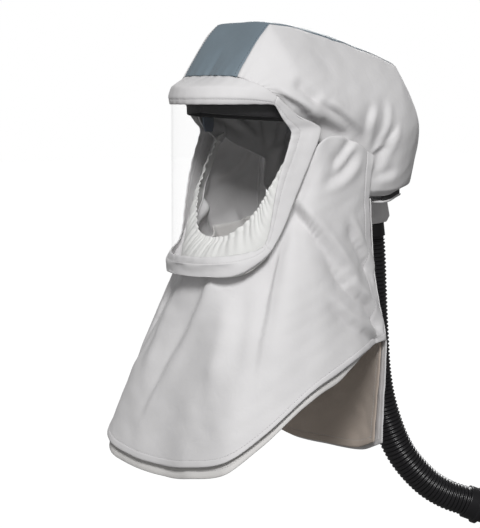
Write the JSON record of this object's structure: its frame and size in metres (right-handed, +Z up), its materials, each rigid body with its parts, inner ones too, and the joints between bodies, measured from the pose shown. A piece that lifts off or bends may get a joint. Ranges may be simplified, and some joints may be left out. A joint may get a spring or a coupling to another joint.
{
  "type": "powered air respirator hood",
  "caption": "Soft cloth respirator hood with a bent clear visor, a boxy crown, a two-layer shoulder cape, a headband and a corrugated breathing hose at the back.",
  "frame": {"origin": "middle of the headband at the height of the brow, where the hood sits on the head", "axes": "+Z up, -Y the way the face looks, +X the wearer's left"},
  "size_m": [0.3006, 0.4852, 0.6332],
  "materials": {
    "fabric": "soft coated cloth, pale grey",
    "strip": "soft coated cloth, slate blue",
    "lining": "uncoated side of the cloth, pale grey",
    "flap_inside": "uncoated side of the cloth, taupe",
    "visor": "clear polished plastic sheet",
    "seal": "white soft cloth gathered on elastic",
    "headband": "charcoal moulded plastic",
    "tab": "blue-grey moulded plastic",
    "dark_band": "black binding tape",
    "hose": "black corrugated rubber"
  },
  "bodies": {
    "root": {"brow_band": "fabric", "cheek_panel_left": "fabric", "cheek_panel_right": "fabric", "chin_pocket": "fabric", "visor": "visor", "crown_strip": "strip", "crown_back": "fabric", "crown_left": "fabric", "crown_right": "fabric", "cape_front": "fabric", "cape_front_lining": "lining", "cape_back": "fabric", "cape_back_lining": "flap_inside", "duct_band": "dark_band", "duct_floor": "fabric", "face_seal": "seal", "headband": "headband", "temple_tab_left": "tab", "temple_tab_right": "tab", "hose_sleeve": "fabric", "hose_cuff": "hose", "breathing_hose": "hose", "hose_connector": "hose"}
  },
  "joints": []
}
